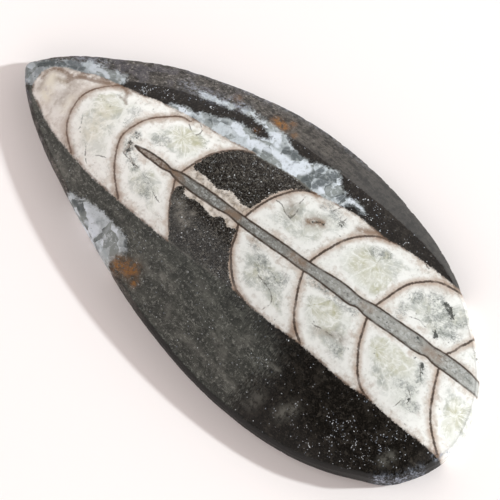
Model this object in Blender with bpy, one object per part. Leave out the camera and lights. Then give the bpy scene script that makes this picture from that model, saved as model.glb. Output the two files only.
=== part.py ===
"""A polished orthoceras fossil: one stone, ground to a long leaf outline and polished to a low dome.

Metres, +Z up. X runs from the pointed tip to the blunt end, and the broad ground bevel is on the +Y side.
The stone lies on its flat sawn back, and the origin is at the middle of that back.
"""

import math

import bmesh
import bpy
from mathutils import Vector

# Overall size
LENGTH = 0.0620
WIDTH = 0.0298
CROWN_HEIGHT = 0.0068

# Plan outline, one point every few millimetres, from the pointed tip along the lower edge and back
OUTLINE = (
    (-0.0310, -0.0013), (-0.0304, -0.0023), (-0.0283, -0.0041), (-0.0243, -0.0064),
    (-0.0195, -0.0084), (-0.0145, -0.0102), (-0.0095, -0.0118), (-0.0045, -0.0132),
    (0.0007, -0.0142), (0.0056, -0.0148), (0.0106, -0.0149), (0.0166, -0.0143),
    (0.0216, -0.0129), (0.0260, -0.0107), (0.0282, -0.0093), (0.0298, -0.0069),
    (0.0307, -0.0045), (0.0310, -0.0021), (0.0306, 0.0002), (0.0294, 0.0031),
    (0.0279, 0.0053), (0.0260, 0.0071), (0.0234, 0.0089), (0.0205, 0.0108),
    (0.0159, 0.0128), (0.0109, 0.0140), (0.0063, 0.0147), (0.0015, 0.0149),
    (-0.0042, 0.0144), (-0.0092, 0.0132), (-0.0147, 0.0112), (-0.0195, 0.0090),
    (-0.0240, 0.0059), (-0.0279, 0.0025), (-0.0303, -0.0002),
)
CURVE_STEPS = 4

# The sides that the dome rolls off to, each an arc seen from above: centre, radius, rim height and slope there
LOWER_SIDE = ((0.0084, 0.0524), 0.0670, 0.0024, 0.62)
UPPER_SIDE = ((0.0027, -0.0291), 0.0439, 0.0030, 0.42)
BLUNT_END = ((-0.0050, -0.0023), 0.0360, 0.0029, 0.80)
ROLL_BLEND = 0.0014

# The broad crown of the dome between those sides
CROWN_AT = (0.0020, -0.0005)
CROWN_BEND_X = 1.4
CROWN_BEND_Y = 7.0

# The ground bevel along the upper side, which runs out towards both ends
BEVEL_WIDTH = 0.0032
BEVEL_FROM = (-0.0310, -0.0235)
BEVEL_TO = (0.0225, 0.0)
BEVEL_FOOT = 0.0014
BEVEL_BULGE = 0.00012

# The eased edges: the polished rim elsewhere, and the foot round the sawn back
RIM_ROUND = 0.0004
FOOT_INSET = 0.0006
FOOT_RISE = 0.0007

# Shares of the way from the middle of the dome to its polished edge, where the mesh has a ring
DOME_RINGS = (0.92, 0.82, 0.70, 0.57, 0.43, 0.29, 0.15)

STONE_COLOUR = (0.035, 0.032, 0.029, 1.0)
STONE_ROUGHNESS = 0.25
SHARP_ANGLE = math.radians(18)
WELD = 1e-6


def clear_scene():
    for item in list(bpy.data.objects):
        bpy.data.objects.remove(item)


def make_stone_material():
    material = bpy.data.materials.new("polished_limestone")
    material.use_nodes = True
    shader = material.node_tree.nodes["Principled BSDF"]
    shader.inputs["Base Color"].default_value = STONE_COLOUR
    shader.inputs["Roughness"].default_value = STONE_ROUGHNESS
    shader.inputs["Metallic"].default_value = 0.0
    material.diffuse_color = STONE_COLOUR
    return material


def read_outline(collection):
    """The outline's corners, counter-clockwise, from a closed Bezier curve through the points above."""
    curve = bpy.data.curves.new("outline", "CURVE")
    curve.dimensions = "2D"
    curve.resolution_u = CURVE_STEPS
    spline = curve.splines.new("BEZIER")
    spline.bezier_points.add(len(OUTLINE) - 1)
    spline.use_cyclic_u = True
    for point, (x, y) in zip(spline.bezier_points, OUTLINE):
        point.co = (x, y, 0.0)
        point.handle_left_type = "AUTO"
        point.handle_right_type = "AUTO"
    guide = bpy.data.objects.new("outline", curve)
    collection.objects.link(guide)
    bpy.context.view_layer.update()
    mesh = bpy.data.meshes.new_from_object(guide.evaluated_get(bpy.context.evaluated_depsgraph_get()))
    corners = [vertex.co.copy() for vertex in mesh.vertices]
    bpy.data.objects.remove(guide)
    bpy.data.meshes.remove(mesh)
    return fit_to_size(corners)


def fit_to_size(corners):
    """Stretch the outline to exactly LENGTH by WIDTH, centred on the origin."""
    low = Vector([min(corner[axis] for corner in corners) for axis in range(3)])
    high = Vector([max(corner[axis] for corner in corners) for axis in range(3)])
    middle = (low + high) / 2
    stretch = (LENGTH / (high.x - low.x), WIDTH / (high.y - low.y))
    return [
        Vector(((c.x - middle.x) * stretch[0], (c.y - middle.y) * stretch[1], 0.0)) for c in corners
    ]


def inward_at(corners, index):
    """The unit direction into the stone at one corner of the outline."""
    along = corners[(index + 1) % len(corners)] - corners[index - 1]
    return Vector((-along.y, along.x, 0.0)).normalized()


def smooth_step(value, start, end):
    share = min(1.0, max(0.0, (value - start) / (end - start)))
    return share * share * (3 - 2 * share)


def side_height(x, y, side):
    """Height of the slope that rises inwards from one side's arc."""
    (centre_x, centre_y), radius, rim, slope = side
    return rim + slope * (radius - math.hypot(x - centre_x, y - centre_y))


def dome_height(x, y):
    """Height of the polished top: the broad crown, rolled off smoothly to the three sides."""
    crown = CROWN_HEIGHT - CROWN_BEND_X * (x - CROWN_AT[0]) ** 2 - CROWN_BEND_Y * (y - CROWN_AT[1]) ** 2
    heights = [crown] + [side_height(x, y, side) for side in (LOWER_SIDE, UPPER_SIDE, BLUNT_END)]
    lowest = min(heights)
    spread = sum(math.exp((lowest - height) / ROLL_BLEND) for height in heights)
    return lowest - ROLL_BLEND * math.log(spread)


def bevel_share(corner):
    """How much of the full bevel there is at a corner: 0 along the lower side, 1 along most of the upper."""
    if corner.y < 0.1 * corner.x:
        return 0.0
    return smooth_step(corner.x, *BEVEL_FROM) * smooth_step(corner.x, *BEVEL_TO)


def make_sections(corners):
    """For each corner of the outline, the points up one side of the stone, from the back to the polished edge."""
    sections = []
    for index, corner in enumerate(corners):
        inward = inward_at(corners, index)
        share = bevel_share(corner)
        width = RIM_ROUND + (BEVEL_WIDTH - RIM_ROUND) * share
        edge = corner + inward * width
        edge.z = dome_height(edge.x, edge.y)
        wall_top = corner.copy()
        wall_top.z = (edge.z - RIM_ROUND) * (1 - share) + BEVEL_FOOT * share
        halfway = (wall_top + edge) / 2
        halfway.z += RIM_ROUND * 0.3 * (1 - share) + BEVEL_BULGE * share
        back = corner + inward * FOOT_INSET
        foot = corner.copy()
        foot.z = FOOT_RISE
        sections.append([back, foot, wall_top, halfway, edge])
    return sections


def ring_edges(bm, verts):
    return [bm.edges.new((vert, verts[(i + 1) % len(verts)])) for i, vert in enumerate(verts)]


def extrude_ring(bm, edges, station, place):
    """Extrude an open edge loop, and put each new corner where its station says."""
    made = bmesh.ops.extrude_edge_only(bm, edges=edges)["geom"]
    for item in made:
        if isinstance(item, bmesh.types.BMVert):
            item.co = place(item[station])
    return [item for item in made if isinstance(item, bmesh.types.BMEdge)]


def dome_point(edge, share):
    """A point on the dome, a share of the way from its middle to the polished edge."""
    x = CROWN_AT[0] + (edge.x - CROWN_AT[0]) * share
    y = CROWN_AT[1] + (edge.y - CROWN_AT[1]) * share
    return Vector((x, y, dome_height(x, y)))


def make_stone(collection):
    sections = make_sections(read_outline(collection))
    bm = bmesh.new()
    station = bm.verts.layers.int.new("station")
    verts = [bm.verts.new(section[0]) for section in sections]
    for index, vert in enumerate(verts):
        vert[station] = index
    ring = ring_edges(bm, verts)
    bmesh.ops.edgeloop_fill(bm, edges=ring)
    for level in range(1, len(sections[0])):
        ring = extrude_ring(bm, ring, station, lambda i: sections[i][level])
    for share in DOME_RINGS + (0.0,):
        ring = extrude_ring(bm, ring, station, lambda i: dome_point(sections[i][-1], share))
    bmesh.ops.remove_doubles(bm, verts=bm.verts, dist=WELD)
    bmesh.ops.recalc_face_normals(bm, faces=bm.faces)
    mesh = bpy.data.meshes.new("polished_stone")
    bm.to_mesh(mesh)
    bm.free()
    mesh.shade_smooth()
    mesh.set_sharp_from_angle(angle=SHARP_ANGLE)
    mesh.materials.append(make_stone_material())
    stone = bpy.data.objects.new("polished_stone", mesh)
    collection.objects.link(stone)
    return stone


def main():
    clear_scene()
    collection = bpy.data.collections.new("orthoceras_fossil")
    bpy.context.scene.collection.children.link(collection)
    make_stone(collection)


main()
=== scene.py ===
# %% [markdown]
# # A polished orthoceras fossil
# The object is one stone, 62 mm long: dark limestone that grew round a straight chambered shell, sawn
# flat behind, ground to a leaf and polished on top. The CAD model already has its size and form, so this
# lesson starts from it and adds the looks: a finer net over the same form, and the fossil as a pattern in
# the stone.

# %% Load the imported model
import math

import bmesh
import bpy
import numpy as np
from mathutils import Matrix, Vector, noise as cloud_noise


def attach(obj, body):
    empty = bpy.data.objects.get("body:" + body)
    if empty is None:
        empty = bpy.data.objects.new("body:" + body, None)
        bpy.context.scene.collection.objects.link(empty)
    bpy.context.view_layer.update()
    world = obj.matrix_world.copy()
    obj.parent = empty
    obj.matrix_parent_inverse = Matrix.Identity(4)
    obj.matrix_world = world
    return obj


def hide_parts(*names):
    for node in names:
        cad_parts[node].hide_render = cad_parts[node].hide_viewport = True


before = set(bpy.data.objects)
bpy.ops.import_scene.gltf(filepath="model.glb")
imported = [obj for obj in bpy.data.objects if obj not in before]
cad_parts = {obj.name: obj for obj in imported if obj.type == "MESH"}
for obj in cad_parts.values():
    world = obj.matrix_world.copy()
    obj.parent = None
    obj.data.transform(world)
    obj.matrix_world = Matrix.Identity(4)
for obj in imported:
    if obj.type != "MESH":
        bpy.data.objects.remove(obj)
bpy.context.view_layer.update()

# %% [markdown]
# ## The camera
# The photograph is a close view from almost straight above, taken with a long lens. The camera could be
# placed by eye, but here its place was worked out from the photograph's own perspective, so the stone is
# seen just as it was.

# %% Place the camera
CAMERA_AT = (0.133898, -0.124552, 0.563985)
CAMERA_TURN = (0.3126374, 0.0217426, 0.7539754)
LENS_MM = 406.22
SENSOR_MM = 36.0

camera_data = bpy.data.cameras.new("camera")
camera_data.lens = LENS_MM
camera_data.sensor_width = SENSOR_MM
camera = bpy.data.objects.new("camera", camera_data)
camera.location = CAMERA_AT
camera.rotation_euler = CAMERA_TURN
bpy.context.scene.collection.objects.link(camera)
bpy.context.scene.camera = camera
print("camera is", round(Vector(CAMERA_AT).length, 3), "m from the stone")

# %% [markdown]
# ## The floor and the light
# The stone lies on something flat and pale. A low lamp at the right of the picture throws its soft shadow
# to the left, and a wide panel overhead is what the polished face mirrors as a grey sheen on one side.
# The grey of that sheen is also painted into the rock's colour, as a painted reflection.
# Area lamps are used for both, because their size sets how soft the shadow is and where the sheen ends.
# The room itself is bright along the horizon and nearly dark above, so it lights the stone from its sides.

# %% Lay the floor
FLOOR_HALF = 1.5
FLOOR_COLOUR = (0.97, 0.92, 0.905, 1.0)
FLOOR_ROUGHNESS, FLOOR_SHINE = 0.9, 0.1

floor_mesh = bpy.data.meshes.new("floor")
bm = bmesh.new()
bmesh.ops.create_grid(bm, x_segments=1, y_segments=1, size=FLOOR_HALF)
bm.to_mesh(floor_mesh)
bm.free()
floor_paint = bpy.data.materials.new("pale_floor")
floor_paint.use_nodes = True
floor_shader = floor_paint.node_tree.nodes["Principled BSDF"]
floor_shader.inputs["Base Color"].default_value = FLOOR_COLOUR
floor_shader.inputs["Roughness"].default_value = FLOOR_ROUGHNESS
floor_shader.inputs["Specular IOR Level"].default_value = FLOOR_SHINE
floor_mesh.materials.append(floor_paint)
floor = bpy.data.objects.new("floor", floor_mesh)
bpy.context.scene.collection.objects.link(floor)
print("floor is", 2 * FLOOR_HALF, "m wide")

# %% Set the lamps
KEY_FROM = (0.657, 0.613, 0.438)
KEY_SIZE = (0.06, 0.06)
KEY_WATTS = 9.4
KEY_COLOUR = (0.93, 1.0, 1.02)
PANEL_AT = (-0.49, -0.30, 0.80)
PANEL_SIZE = (0.70, 0.70)
PANEL_WATTS = 1.4
PANEL_COLOUR = (1.0, 1.0, 1.0)


def hang_lamp(name, place, size, watts, colour, shape="DISK"):
    """An area lamp that isn't itself seen by the camera."""
    data = bpy.data.lights.new(name, "AREA")
    data.shape = shape
    data.size, data.size_y = size
    data.energy = watts
    data.color = colour
    lamp = bpy.data.objects.new(name, data)
    lamp.location = place
    lamp.visible_camera = False
    bpy.context.scene.collection.objects.link(lamp)
    return lamp


key = hang_lamp("key_lamp", KEY_FROM, KEY_SIZE, KEY_WATTS, KEY_COLOUR)
key.rotation_euler = Vector(KEY_FROM).to_track_quat("Z", "Y").to_euler()
hang_lamp("overhead_panel", PANEL_AT, PANEL_SIZE, PANEL_WATTS, PANEL_COLOUR, "RECTANGLE")
print("key lamp at", round(math.degrees(math.asin(KEY_FROM[2])), 1), "degrees above the floor")

# %% Light the room from its sides
HORIZON_COLOUR, ZENITH_COLOUR = (1.74, 1.59, 1.55, 1.0), (0.05, 0.047, 0.045, 1.0)
HORIZON_TOP, ZENITH_EDGE = 0.35, 0.80


def add_node(tree, kind, inputs=(), **settings):
    """A new node. Each input, given in order or by name, is a value or another node's output."""
    node = tree.nodes.new("ShaderNode" + kind)
    for name, setting in settings.items():
        setattr(node, name, setting)
    keyed = inputs.items() if isinstance(inputs, dict) else enumerate(inputs)
    for key, value in keyed:
        if isinstance(value, bpy.types.NodeSocket):
            tree.links.new(value, node.inputs[key])
        else:
            node.inputs[key].default_value = value
    return node


world = bpy.data.worlds.new("room")
world.use_nodes = True
room = world.node_tree
direction = add_node(room, "TexCoord").outputs["Generated"]
height = add_node(room, "SeparateXYZ", (direction,)).outputs["Z"]
dimming = add_node(room, "MapRange", (height, HORIZON_TOP, ZENITH_EDGE)).outputs["Result"]
sky_inputs = {"Factor": dimming, "A": HORIZON_COLOUR, "B": ZENITH_COLOUR}
sky = add_node(room, "Mix", sky_inputs, data_type="RGBA").outputs["Result"]
room.links.new(sky, room.nodes["Background"].inputs["Color"])
bpy.context.scene.world = world
bpy.context.scene.view_settings.view_transform = "Standard"
print("room lit by", len(room.nodes), "nodes")

# %% [markdown]
# ## The outline of the stone
# Seen from above the stone is a long leaf: a pointed tip at one end of the shell and a round blunt end at
# the other. A smooth Bezier curve through a few dozen corners gives it. The same small helper later draws
# every marking, because a fossil's lines are smooth curves too. All the drawing is in millimetres.

# %% Draw smooth curves
MM = 0.001
LENGTH, WIDTH = 62.0, 29.8
OUTLINE = (
    (-31.0, -1.3), (-30.4, -2.3), (-28.3, -4.1), (-24.3, -6.4), (-19.5, -8.4), (-14.5, -10.2),
    (-9.5, -11.8), (-4.5, -13.2), (0.7, -14.2), (5.6, -14.8), (10.6, -14.9), (16.6, -14.3), (21.6, -12.9),
    (26.0, -10.7), (28.2, -9.3), (29.8, -6.9), (30.7, -4.5), (31.0, -2.1), (30.6, 0.2), (29.4, 3.1),
    (27.9, 5.3), (26.0, 7.1), (23.4, 8.9), (20.5, 10.8), (15.9, 12.8), (10.9, 14.0), (6.3, 14.7),
    (1.5, 14.9), (-4.2, 14.4), (-9.2, 13.2), (-14.7, 11.2), (-19.5, 9.0), (-24.0, 5.9), (-27.9, 2.5),
    (-30.3, -0.2),
)
CURVE_STEPS, OUTLINE_STEPS = 4, 24


def draw_curve(corners, closed=False, steps=CURVE_STEPS):
    """Points along a smooth Bezier curve through the corners, as rows of x and y."""
    data = bpy.data.curves.new("pencil", "CURVE")
    data.dimensions = "3D"
    data.resolution_u = steps
    spline = data.splines.new("BEZIER")
    spline.bezier_points.add(len(corners) - 1)
    spline.use_cyclic_u = closed
    for point, (x, y) in zip(spline.bezier_points, corners):
        point.co = (x, y, 0.0)
        point.handle_left_type = "AUTO"
        point.handle_right_type = "AUTO"
    pencil = bpy.data.objects.new("pencil", data)
    mesh = pencil.to_mesh()
    drawn = np.array([vertex.co[:2] for vertex in mesh.vertices])
    pencil.to_mesh_clear()
    bpy.data.objects.remove(pencil)
    bpy.data.curves.remove(data)
    return drawn


outline = draw_curve(OUTLINE, closed=True, steps=OUTLINE_STEPS)
low, high = outline.min(axis=0), outline.max(axis=0)
outline = (outline - (low + high) / 2) * (LENGTH, WIDTH) / (high - low)
print("outline of", len(outline), "points,", np.ptp(outline, axis=0).round(2), "mm")

# %% [markdown]
# ## Walking round the outline
# Every edge of the stone follows the outline, a little further in or lower down. So each point of it gets
# an angle: 0 at the blunt end, half a turn at the tip, even steps of length between. Asking for an angle
# then gives the place on the outline and the direction into the stone.

# %% Give each outline point its angle
HALF_TURN = math.pi
TURN = 2 * math.pi

tip, blunt = outline[:, 0].argmin(), outline[:, 0].argmax()
outline = np.roll(outline, -tip, axis=0)
blunt = (blunt - tip) % len(outline)
steps_on = np.linalg.norm(np.roll(outline, -1, axis=0) - outline, axis=1)
walked = np.concatenate(([0.0], np.cumsum(steps_on)))
lower_length, whole_length = walked[blunt], walked[-1]
on_lower = walked[:-1] / lower_length
on_upper = (walked[:-1] - lower_length) / (whole_length - lower_length)
outline_angle = HALF_TURN * np.where(walked[:-1] < lower_length, 1 + on_lower, on_upper)
along = np.roll(outline, -1, axis=0) - np.roll(outline, 1, axis=0)
inward_all = np.stack((-along[:, 1], along[:, 0]), axis=1)
inward_all /= np.linalg.norm(inward_all, axis=1, keepdims=True)
order = outline_angle.argsort()


def at_angle(values, angle):
    """The x and y of some values of the outline at these angles."""
    pair = [np.interp(angle, outline_angle[order], values[order, axis], period=TURN) for axis in (0, 1)]
    return np.stack(pair, axis=1)


print("the outline is", round(whole_length, 1), "mm round")

# %% [markdown]
# ## The form above the outline
# The polished top is a low dome that rolls off towards its sides. Along the upper side a broad bevel was
# ground with the stone held at a slant. These are the formulas of the CAD model, so the fine net lies on
# the same form.

# %% The dome and the bevel as formulas
CROWN_HEIGHT, CROWN_AT = 6.78, (2.0, -0.5)
CROWN_BEND = (0.0014, 0.0070)
# Each side: the centre and radius of its arc, the rim's height there and the slope
SIDES = (
    ((8.4, 52.4), 67.0, 2.4, 0.62),
    ((2.7, -29.1), 43.9, 3.0, 0.42),
    ((-5.0, -2.3), 36.0, 2.9, 0.80),
)
ROLL_BLEND = 1.4
BEVEL_WIDTH, BEVEL_FOOT, BEVEL_BULGE = 3.2, 1.4, 0.12
BEVEL_FROM, BEVEL_TO = (-31.0, -23.5), (22.5, 0.0)
RIM_ROUND, FOOT_INSET, FOOT_RISE = 0.4, 0.6, 0.7
UPPER_SIDE_SLANT = 0.1


def dome_height(x, y):
    """Height of the polished top: a broad crown, rolled off smoothly to the three sides."""
    crown = CROWN_HEIGHT - CROWN_BEND[0] * (x - CROWN_AT[0]) ** 2 - CROWN_BEND[1] * (y - CROWN_AT[1]) ** 2
    heights = [crown]
    for (centre_x, centre_y), radius, rim, slope in SIDES:
        heights.append(rim + slope * (radius - np.hypot(x - centre_x, y - centre_y)))
    return -ROLL_BLEND * np.logaddexp.reduce([-height / ROLL_BLEND for height in heights])


def smooth_step(value, start, end):
    share = np.clip((value - start) / (end - start), 0.0, 1.0)
    return share * share * (3 - 2 * share)


def bevel_share(corner):
    """How much of the full bevel there is at points of the outline."""
    upper = corner[:, 1] >= UPPER_SIDE_SLANT * corner[:, 0]
    return upper * smooth_step(corner[:, 0], *BEVEL_FROM) * smooth_step(corner[:, 0], *BEVEL_TO)


print("the dome is", round(float(dome_height(*CROWN_AT)), 2), "mm high")

# %% [markdown]
# ## A net for the stone
# The markings need a fine, even net. A disc of rings would crowd its faces in the middle, so the net
# starts as a flat grid. Extruding the whole grid once makes the top and the back with a wall between
# them, and cutting the wall's upright edges gives it the rings that the bevel and the rounded rims need.
# A number kept on each corner says how far down the wall it is: 0 on the top sheet, 1 on the back, and
# the cuts fill in the steps between.

# %% Make the net
NET_ALONG, NET_ACROSS = 280, 130
WALL_CUTS = 18

bm = bmesh.new()
bmesh.ops.create_grid(bm, x_segments=NET_ALONG, y_segments=NET_ACROSS, size=1.0)
drop = bm.verts.layers.float.new("drop")
made = bmesh.ops.extrude_face_region(bm, geom=list(bm.faces))
for item in made["geom"]:
    if isinstance(item, bmesh.types.BMVert):
        item[drop] = 1.0
        item.co.z = -1.0
upright = [edge for edge in bm.edges if edge.verts[0][drop] != edge.verts[1][drop]]
bmesh.ops.subdivide_edges(bm, edges=upright, cuts=WALL_CUTS, use_grid_fill=True)
bmesh.ops.recalc_face_normals(bm, faces=bm.faces)
if bm.calc_volume(signed=True) < 0:
    bmesh.ops.reverse_faces(bm, faces=bm.faces)
stone_mesh = bpy.data.meshes.new("fossil_stone")
bm.to_mesh(stone_mesh)
bm.free()
print("net of", len(stone_mesh.vertices), "corners and", len(stone_mesh.polygons), "faces")

# %% [markdown]
# ## Bending the net to the leaf
# A square grid has four corners and a leaf has none. The grid is first bent to a round disc, where its
# corners become ordinary edge points, and the disc is then drawn out to the leaf: each direction in the
# disc has its own point on the outline. Nothing is cut, so the faces stay whole and even.

# %% Lay out the top sheet, the wall and the back
SHEET = 0.001

count = len(stone_mesh.vertices)
flat = np.empty(3 * count)
stone_mesh.vertices.foreach_get("co", flat)
grid_x, grid_y = flat.reshape(-1, 3)[:, 0], flat.reshape(-1, 3)[:, 1]
depth_share = np.empty(count)
stone_mesh.attributes["drop"].data.foreach_get("value", depth_share)
on_top, on_back = depth_share < SHEET, depth_share > 1 - SHEET
on_wall = ~(on_top | on_back)

disc_x = grid_x * np.sqrt(1 - grid_y**2 / 2)
disc_y = grid_y * np.sqrt(1 - grid_x**2 / 2)
reach = np.hypot(disc_x, disc_y)[:, None]
angle = np.arctan2(disc_y, disc_x) % TURN


def crease_at(angle):
    """The outline's corner, the way in, the share of bevel and the edge of the polish at these angles."""
    corner = at_angle(outline, angle)
    inward = at_angle(inward_all, angle)
    share = bevel_share(corner)
    width = RIM_ROUND + (BEVEL_WIDTH - RIM_ROUND) * share
    return corner, inward, share, corner + inward * width[:, None]


corner, inward, share, edge = crease_at(angle)
edge_height = dome_height(edge[:, 0], edge[:, 1])

place = np.zeros((count, 3))
top_xy = CROWN_AT + reach * (edge - CROWN_AT)
place[on_top, :2] = top_xy[on_top]
place[on_top, 2] = dome_height(top_xy[on_top, 0], top_xy[on_top, 1])
back_xy = CROWN_AT + reach * (corner + inward * FOOT_INSET - CROWN_AT)
place[on_back, :2] = back_xy[on_back]
print("corners on the top", on_top.sum(), "on the wall", on_wall.sum(), "on the back", on_back.sum())

# %% [markdown]
# ## The wall and its rounded edges
# Going down the wall, a section of the stone runs from the polished edge over the bevel to the top of the
# wall, down to the foot and round to the back. The rings are laid along that section with a soft curve at
# each turn, because a ground stone has no knife edges.

# %% Lay the rings of the wall along the section
BEVEL_RINGS, WALL_RINGS = 10.0, 17.0
RINGS = WALL_CUTS + 1.0
RIM_BULGE, FOOT_TURN = 0.3, 0.3


def raised(points, heights):
    return np.column_stack((points, heights))


def through(start, middle, end, part):
    """A point on the soft arc from start to end that passes through the middle one."""
    control = 2 * middle - (start + end) / 2
    part = part[:, None]
    return (1 - part) ** 2 * start + 2 * part * (1 - part) * control + part**2 * end


wall_top_height = (edge_height - RIM_ROUND) * (1 - share) + BEVEL_FOOT * share
section_edge = raised(edge, edge_height)
section_wall = raised(corner, wall_top_height)
section_half = (section_edge + section_wall) / 2
section_half[:, 2] += RIM_ROUND * RIM_BULGE * (1 - share) + BEVEL_BULGE * share
section_foot = raised(corner, np.full(count, FOOT_RISE))
section_back = raised(corner + inward * FOOT_INSET, np.zeros(count))
section_turn = raised(corner + inward * FOOT_INSET * FOOT_TURN, np.full(count, FOOT_RISE * FOOT_TURN))

ring = depth_share * RINGS
on_bevel = on_wall & (ring <= BEVEL_RINGS)
on_upright = on_wall & (ring > BEVEL_RINGS) & (ring <= WALL_RINGS)
on_foot = on_wall & (ring > WALL_RINGS)
place[on_bevel] = through(section_edge, section_half, section_wall, ring / BEVEL_RINGS)[on_bevel]
upright_part = ((ring - BEVEL_RINGS) / (WALL_RINGS - BEVEL_RINGS))[:, None]
place[on_upright] = (section_wall + (section_foot - section_wall) * upright_part)[on_upright]
foot_part = (ring - WALL_RINGS) / (RINGS - WALL_RINGS)
place[on_foot] = through(section_foot, section_turn, section_back, foot_part)[on_foot]
print("stone in mm:", place.min(axis=0).round(2), place.max(axis=0).round(2))

# %% [markdown]
# ## Pits, chips and saw marks
# The polished face is smooth, but the ground sides have small pits, the edges are chipped here and there,
# and the sawn back keeps shallow marks. These could be bump in the material alone, but at the outline the
# eye sees real form. So the net itself is pressed in a little by noise, always inwards, which keeps the
# stone's size.

# %% Press in the ground sides and the back
PIT_DEPTH, CHIP_DEPTH, SAW_DEPTH = 0.035, 0.06, 0.03
PIT_SCALE, CHIP_SCALE, SAW_SCALE = 2.2, 0.55, (0.25, 1.6, 1.0)
PIT_OCTAVES, CHIP_OCTAVES, SAW_OCTAVES = 3, 4, 3
CLOUD_FALL, CLOUD_FINER = 0.8, 2.0
CHIP_LEVELS, CHIP_RINGS = (0.12, 0.55), 3.0
FREE_ABOVE, FREE_BELOW, SAW_MARGIN = (0.0, 2.0), (0.0, 1.5), (0.02, 0.10)


def cloud_at(points, scale, octaves):
    """Fractal noise about zero at each of the points, scaled on each axis."""
    scaled = (points * scale).tolist()
    return np.array([cloud_noise.fractal(point, CLOUD_FALL, CLOUD_FINER, octaves) for point in scaled])


side = np.flatnonzero(on_wall)
within = smooth_step(ring[side], *FREE_ABOVE) * smooth_step(RINGS - ring[side], *FREE_BELOW)
pits = np.clip(cloud_at(place[side], PIT_SCALE, PIT_OCTAVES), 0.0, 1.0)
chips = smooth_step(cloud_at(place[side], CHIP_SCALE, CHIP_OCTAVES), *CHIP_LEVELS)
at_corner = np.exp(-(((ring[side] - BEVEL_RINGS) / CHIP_RINGS) ** 2))
pressed = within * (PIT_DEPTH * pits + CHIP_DEPTH * chips * at_corner)
place[side, :2] += inward[side] * pressed[:, None]
under = np.flatnonzero(on_back)
saw_marks = np.clip(cloud_at(place[under], SAW_SCALE, SAW_OCTAVES), 0.0, 1.0)
place[under, 2] = SAW_DEPTH * saw_marks * smooth_step(1.0 - reach[under, 0], *SAW_MARGIN)
print("sides pressed in by up to", round(float(pressed.max()), 3), "mm, the back by",
      round(float(place[under, 2].max()), 3), "mm")

# %% Put the net in place
stone_mesh.vertices.foreach_set("co", (place * MM).ravel())
stone_mesh.attributes.remove(stone_mesh.attributes["drop"])
stone_mesh.shade_smooth()
stone_mesh.update()
stone = bpy.data.objects.new("fossil_stone", stone_mesh)
bpy.context.scene.collection.objects.link(stone)
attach(stone, "root")
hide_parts("polished_stone")
print("triangles:", sum(len(face.vertices) - 2 for face in stone_mesh.polygons))

# %% [markdown]
# ## What is drawn in the stone
# The fossil is only colour in the polished face, so it is drawn and not raised. A picture could be laid
# on top, but it would stop at the edges and blur close up. Here each marking is a few smooth curves, and
# every corner of the net stores its distance to them in millimetres. The material later turns those
# distances into crisp edges.

# %% Measure distances to a curve
NEARLY_ZERO = 1e-12


def distance_to(path, x, y):
    """Distance from each point to the nearest piece of a path."""
    nearest = np.full(len(x), np.inf)
    for start, end in zip(path[:-1], path[1:]):
        run = end - start
        part = ((x - start[0]) * run[0] + (y - start[1]) * run[1]) / max(run @ run, NEARLY_ZERO)
        part = np.clip(part, 0.0, 1.0)
        gap_x = x - start[0] - part * run[0]
        gap_y = y - start[1] - part * run[1]
        nearest = np.minimum(nearest, gap_x * gap_x + gap_y * gap_y)
    return np.sqrt(nearest)


def depth_inside(corners, x, y):
    """Distance to the border of a closed shape, positive inside and negative outside."""
    path = draw_curve(corners, closed=True)
    path = np.vstack((path, path[:1]))
    inside = np.zeros(len(x), bool)
    for start, end in zip(path[:-1], path[1:]):
        spans = (start[1] > y) != (end[1] > y)
        rise = end[1] - start[1] or NEARLY_ZERO
        inside ^= spans & (x < start[0] + (y - start[1]) * (end[0] - start[0]) / rise)
    return np.where(inside, 1.0, -1.0) * distance_to(path, x, y)


def blots(marks, x, y):
    """Soft spots and soft strokes: each mark is its half width, its strength and its corners."""
    total = np.zeros(len(x))
    for half_width, strength, *corners in marks:
        path = draw_curve(corners) if len(corners) > 1 else np.array(corners * 2)
        total = np.maximum(total, strength * np.exp(-((distance_to(path, x, y) / half_width) ** 2)))
    return total


def store(name, values):
    """Keep one number for each corner of the net, for the material to read."""
    layer = stone_mesh.attributes.new(name, "FLOAT", "POINT")
    layer.data.foreach_set("value", np.asarray(values, np.float32))
    print(name, "from", round(float(values.min()), 2), "to", round(float(values.max()), 2))


# %% [markdown]
# ## The shell goes on below the face
# The real shell is a long cone, and the polished face cuts it through the middle. A point below the face,
# on the wall or the back, therefore shows what the face shows at the same distance from the cone's axis.
# Each point is moved sideways by that rule before it is measured, so the section carries on round the
# edges by itself.

# %% Find each point's place across the shell
AXIS_START, AXIS_RISE = (-15.0, -1.0), 0.124

x, y, z = place.T
below = np.where(on_top, 0.0, np.maximum(dome_height(x, y) - z, 0.0))
axis_y = AXIS_START[1] + AXIS_RISE * (x - AXIS_START[0])
side_of_axis = np.where(y < axis_y, -1.0, 1.0)
shell_y = axis_y + side_of_axis * np.hypot(y - axis_y, below)
store("below", below)

# %% [markdown]
# ## The shell wall and the siphuncle
# The shell's wall bounds the pale section, from the small chamber at the tip to where it runs off the
# blunt end. Down its middle goes the siphuncle, a narrow tube that swells in each chamber. Both are
# closed shapes.

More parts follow.
